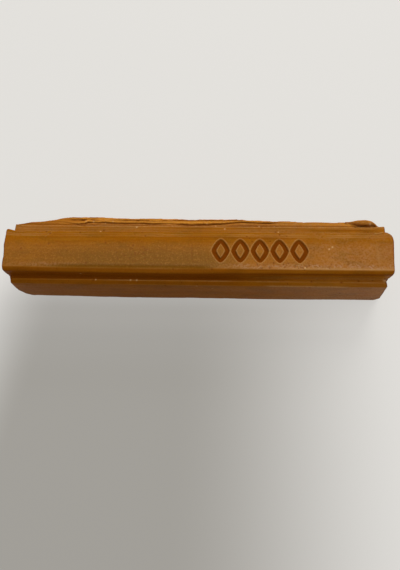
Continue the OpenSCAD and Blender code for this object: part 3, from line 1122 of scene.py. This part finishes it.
class Nodes:
    """Short way to add and link the nodes of one material or world."""

    def __init__(self, owner):
        owner.use_nodes = True
        self.tree = owner.node_tree
        self.tree.nodes.clear()

    def add(self, kind, **settings):
        """New node of a kind, with its settings."""
        node = self.tree.nodes.new(kind)
        for name, value in settings.items():
            setattr(node, name, value)
        return node

    def set(self, socket, source):
        """Link an output to a socket, or write a number or a colour on it."""
        if isinstance(source, bpy.types.NodeSocket):
            self.tree.links.new(source, socket)
        else:
            socket.default_value = source

    def millimetres(self):
        """Place on the object in millimetres."""
        scale = self.add("ShaderNodeVectorMath", operation="SCALE")
        scale.inputs["Scale"].default_value = 1 / MM
        self.set(scale.inputs[0], self.add("ShaderNodeTexCoord").outputs["Object"])
        return scale.outputs[0]

    def noise(self, place, scale, detail=3.0, stretch=None):
        """Noise over places in millimetres, with scale cells per millimetre."""
        if stretch is not None:
            mapping = self.add("ShaderNodeMapping")
            mapping.inputs["Scale"].default_value = stretch
            self.set(mapping.inputs["Vector"], place)
            place = mapping.outputs["Vector"]
        texture = self.add("ShaderNodeTexNoise")
        texture.inputs["Scale"].default_value = scale
        texture.inputs["Detail"].default_value = detail
        self.set(texture.inputs["Vector"], place)
        return texture.outputs["Fac"]

    def dots(self, place, scale, radius):
        """1 inside small round dots, one in each cell of a loose grid."""
        texture = self.add("ShaderNodeTexVoronoi", feature="F1")
        texture.inputs["Scale"].default_value = scale
        self.set(texture.inputs["Vector"], place)
        return self.ramp(texture.outputs["Distance"], radius, 0.5 * radius)

    def ramp(self, source, low, high, start=0.0, end=1.0):
        """Source from low to high, spread from start to end."""
        node = self.add("ShaderNodeMapRange", interpolation_type="SMOOTHSTEP")
        for name, value in (("From Min", low), ("From Max", high), ("To Min", start), ("To Max", end)):
            node.inputs[name].default_value = value
        self.set(node.inputs["Value"], source)
        return node.outputs["Result"]

    def calculate(self, operation, *sources):
        """Output of one Math node, from outputs and numbers."""
        node = self.add("ShaderNodeMath", operation=operation)
        for socket, source in zip(node.inputs, sources):
            self.set(socket, source)
        return node.outputs[0]

    def times(self, first, second):
        """Product of two outputs or numbers."""
        return self.calculate("MULTIPLY", first, second)

    def mix(self, share, first, second):
        """Colour from first to second by share."""
        node = self.add("ShaderNodeMix", data_type="RGBA")
        self.set(node.inputs["Factor"], share)
        colours = [socket for socket in node.inputs if socket.type == "RGBA"]
        self.set(colours[0], first)
        self.set(colours[1], second)
        return next(socket for socket in node.outputs if socket.type == "RGBA")

    def attribute(self, name):
        """Numbers that a mesh stores per vertex under a name."""
        return self.add("ShaderNodeAttribute", attribute_name=name).outputs["Fac"]

    def shows_background(self):
        """1 for the camera's rays and for those that a surface mirrors or lets through."""
        rays = self.add("ShaderNodeLightPath").outputs
        mirrored_too = self.calculate("MAXIMUM", rays["Is Camera Ray"], rays["Is Glossy Ray"])
        return self.calculate("MAXIMUM", mirrored_too, rays["Is Transmission Ray"])

    def mix_shaders(self, share, first, second):
        """Shader from first to second by share."""
        node = self.add("ShaderNodeMixShader")
        self.set(node.inputs["Fac"], share)
        self.set(node.inputs[1], first.outputs[0])
        self.set(node.inputs[2], second.outputs[0])
        return node

    def show(self, output_kind, shader):
        """End the tree with an output that shows a shader."""
        output = self.add(output_kind)
        self.set(output.inputs["Surface"], shader.outputs[0])


def wax_material(name, deep, plain, streak, grain_light, pale, hollow, bloom, dusk, dust, roughness):
    """Cast wax: cloudy tone, flow streaks, fine grain, dark dots, rubbed edges, dull bloom and dust, with
    the painted highlights, sheen and shade that its mesh stores.
    """
    material = bpy.data.materials.new(name)
    n = Nodes(material)
    place = n.millimetres()

    clouds = n.noise(place, CLOUD_SCALE)
    streaks = n.noise(place, STREAK_SCALE, FINE_DETAIL, STREAK_STRETCH)
    grain = n.noise(place, GRAIN_SCALE)
    colour = n.mix(n.ramp(clouds, *CLOUD_LEVELS), deep, plain)
    colour = n.mix(n.times(n.ramp(streaks, *STREAK_LEVELS), STREAK_SHARE), colour, streak)
    # Painted shade on the bar, and a darker tone on the skin, as the mesh stores them
    colour = n.mix(n.attribute("dusk"), colour, dusk)
    sheen = n.attribute("sheen")
    grain_share = n.ramp(sheen, 0.0, 1.0, *GRAIN_SHARES)
    blotches = n.noise(place, BLOTCH_SCALE, FINE_DETAIL, BLOTCH_STRETCH)
    colour = n.mix(n.times(n.ramp(blotches, *BLOTCH_LEVELS), BLOTCH_SHARE), colour, dusk)
    colour = n.mix(n.times(n.ramp(grain, *GRAIN_LEVELS), grain_share), colour, hollow)
    light_grain = n.ramp(n.noise(place, LIGHT_GRAIN_SCALE), *LIGHT_GRAIN_LEVELS)
    colour = n.mix(n.times(light_grain, grain_share), colour, grain_light)

    dots = n.times(n.dots(place, DOT_SCALE, DOT_RADIUS), n.ramp(clouds, *DOT_CLOUDS))
    colour = n.mix(n.times(dots, DOT_SHARE), colour, hollow)

    # Bloom and painted sheen, as the mesh stores them
    patches = n.ramp(n.noise(place, HAZE_SCALE, FINE_DETAIL), *HAZE_PATCHES)
    haze = n.times(n.attribute("bloom"), n.times(patches, n.ramp(grain, *HAZE_GRAIN)))
    colour = n.mix(haze, colour, bloom)
    # Wear and painted light, as the mesh stores them
    rubbed = n.times(n.attribute("pale"), n.ramp(grain, *RUB_GRAIN))
    colour = n.mix(rubbed, colour, pale)
    # Dark marks and painted shade, as the mesh stores them
    colour = n.mix(n.attribute("hollow"), colour, hollow)
    # Dust and painted highlights, as the mesh stores them
    colour = n.mix(n.attribute("dust"), colour, dust)

    bump = n.add("ShaderNodeBump")
    bump.inputs["Strength"].default_value = BUMP_STRENGTH
    bump.inputs["Distance"].default_value = BUMP_DEPTH * MM
    n.set(bump.inputs["Height"], n.calculate("MULTIPLY_ADD", grain, BUMP_GRAIN, streaks))

    shader = n.add("ShaderNodeBsdfPrincipled")
    n.set(shader.inputs["Base Color"], colour)
    rough = n.ramp(grain, *ROUGH_LEVELS, roughness - SMOOTHER, roughness + ROUGHER)
    n.set(shader.inputs["Roughness"], rough)
    n.set(shader.inputs["Normal"], bump.outputs["Normal"])
    n.set(shader.inputs["Specular IOR Level"], n.ramp(sheen, 0.0, 1.0, *GLOSS_LEVELS))
    shader.inputs["Specular Tint"].default_value = GLOSS_TINT
    shader.inputs["IOR"].default_value = WAX_IOR
    shader.inputs["Subsurface Weight"].default_value = DEEP_LIGHT_SHARE
    shader.inputs["Subsurface Radius"].default_value = DEEP_LIGHT_RADIUS
    shader.inputs["Subsurface Scale"].default_value = DEEP_LIGHT_DEPTH * MM
    n.show("ShaderNodeOutputMaterial", shader)
    return material


def dress(piece, material, node):
    """Give a piece its material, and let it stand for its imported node."""
    piece.data.materials.append(material)
    piece.data.shade_smooth()
    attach(piece, "root")
    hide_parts(node)


def make_floor(plain, shaded):
    """Plain pale paper under the bar, shaded in front of it and more to the left."""
    mesh = bpy.data.meshes.new("floor")
    corners = [(-FLOOR_HALF, -FLOOR_HALF, 0), (FLOOR_HALF, -FLOOR_HALF, 0)]
    corners += [(FLOOR_HALF, FLOOR_HALF, 0), (-FLOOR_HALF, FLOOR_HALF, 0)]
    mesh.from_pydata(corners, [], [(0, 1, 2, 3)])
    floor = bpy.data.objects.new("floor", mesh)
    bpy.context.scene.collection.objects.link(floor)
    material = bpy.data.materials.new("paper")
    n = Nodes(material)
    place = n.add("ShaderNodeSeparateXYZ")
    n.set(place.inputs[0], n.millimetres())
    x, y = place.outputs["X"], place.outputs["Y"]
    slanted_x = n.calculate("MULTIPLY_ADD", y, SHADE_SLANT, x)
    shade_x = n.times(n.ramp(x, *SHADE_RIGHT_X), n.ramp(slanted_x, *SHADE_LEFT_X))
    shade_y = n.times(n.ramp(y, *SHADE_BACK_Y), n.ramp(y, *SHADE_DEEPER_Y, *SHADE_DEEPER_SHARES))
    shade_y = n.times(shade_y, n.ramp(y, *SHADE_FRONT_Y))
    colour = n.mix(n.times(shade_x, shade_y), plain, shaded)
    paper = n.add("ShaderNodeBsdfDiffuse")
    n.set(paper.inputs["Color"], colour)
    glow = n.add("ShaderNodeEmission")
    n.set(glow.inputs["Color"], colour)
    seen = n.mix_shaders(n.times(n.shows_background(), FLOOR_GLOW), paper, glow)
    n.show("ShaderNodeOutputMaterial", seen)
    mesh.materials.append(material)


def area_lamp(name, place, aim, size, radiance):
    """Soft lamp of an even brightness, turned to a point."""
    lamp = bpy.data.lights.new(name, "AREA")
    lamp.shape = "RECTANGLE"
    lamp.size, lamp.size_y = size
    lamp.energy = radiance * math.pi * size[0] * size[1]
    lamp.color = LAMP_COLOUR
    holder = bpy.data.objects.new(name, lamp)
    holder.location = place
    holder.rotation_mode = "QUATERNION"
    holder.rotation_quaternion = (Vector(aim) - Vector(place)).to_track_quat("-Z", "Y")
    holder.visible_camera = False
    bpy.context.scene.collection.objects.link(holder)
    return holder


def make_lights(backdrop):
    """A soft key from behind and right, a dim ceiling that the wax mirrors, and a dim room."""
    key = area_lamp("key", KEY_PLACE, KEY_AIM, KEY_SIZE, KEY_RADIANCE)
    key.visible_glossy = False
    area_lamp("ceiling", CEILING_PLACE, CEILING_AIM, CEILING_SIZE, CEILING_RADIANCE)

    world = bpy.data.worlds.new("room")
    bpy.context.scene.world = world
    n = Nodes(world)
    room = n.add("ShaderNodeBackground")
    room.inputs["Color"].default_value = ROOM_COLOUR
    room.inputs["Strength"].default_value = ROOM_RADIANCE
    seen = n.add("ShaderNodeBackground")
    seen.inputs["Color"].default_value = backdrop
    seen.inputs["Strength"].default_value = 1.0
    n.show("ShaderNodeOutputWorld", n.mix_shaders(n.shows_background(), room, seen))


def make_camera():
    """Camera close above the front of the bar, turned a little to the right."""
    elevation, azimuth, roll = (math.radians(a) for a in (CAMERA_ELEVATION, CAMERA_AZIMUTH, CAMERA_ROLL))
    back = Vector((
        math.sin(azimuth) * math.cos(elevation),
        -math.cos(azimuth) * math.cos(elevation),
        math.sin(elevation),
    ))
    right = Vector((math.cos(azimuth), math.sin(azimuth), 0.0))
    up = back.cross(right)
    turned_right = math.cos(roll) * right + math.sin(roll) * up
    turned_up = math.cos(roll) * up - math.sin(roll) * right
    data = bpy.data.cameras.new("camera")
    data.sensor_width = CAMERA_SENSOR
    data.lens = CAMERA_LENS
    data.clip_start = CAMERA_NEAR
    data.clip_end = CAMERA_FAR
    camera = bpy.data.objects.new("camera", data)
    place = (Vector(CAMERA_TARGET) + back * CAMERA_DISTANCE) * MM
    turn = Matrix((turned_right, turned_up, back)).transposed()
    camera.matrix_world = Matrix.Translation(place) @ turn.to_4x4()
    bpy.context.scene.collection.objects.link(camera)
    bpy.context.scene.camera = camera


make_camera()
make_lights(backdrop=srgb(229, 228, 224))
make_floor(plain=srgb(227, 225, 221), shaded=srgb(164, 161, 155))

moulded = wax_material(
    "moulded_wax",
    deep=srgb(146, 84, 4),
    plain=srgb(154, 91, 6),
    streak=srgb(161, 101, 18),
    grain_light=srgb(170, 112, 44),
    pale=srgb(176, 126, 70),
    hollow=srgb(112, 53, 1),
    bloom=srgb(164, 118, 81),
    dusk=srgb(122, 76, 9),
    dust=srgb(212, 166, 112),
    roughness=0.4,
)
torn = wax_material(
    "torn_wax",
    deep=srgb(158, 95, 24),
    plain=srgb(172, 108, 33),
    streak=srgb(178, 118, 44),
    grain_light=srgb(184, 122, 58),
    pale=srgb(196, 131, 46),
    hollow=srgb(104, 48, 3),
    bloom=srgb(164, 112, 60),
    dusk=srgb(140, 87, 32),
    dust=srgb(222, 178, 124),
    roughness=0.5,
)
dress(make_bar(), moulded, "stick_body")
dress(make_skin(), torn, "pour_skin")
dress(make_bead(), torn, "overflow_bead")

bpy.context.scene.view_settings.view_transform = "Standard"
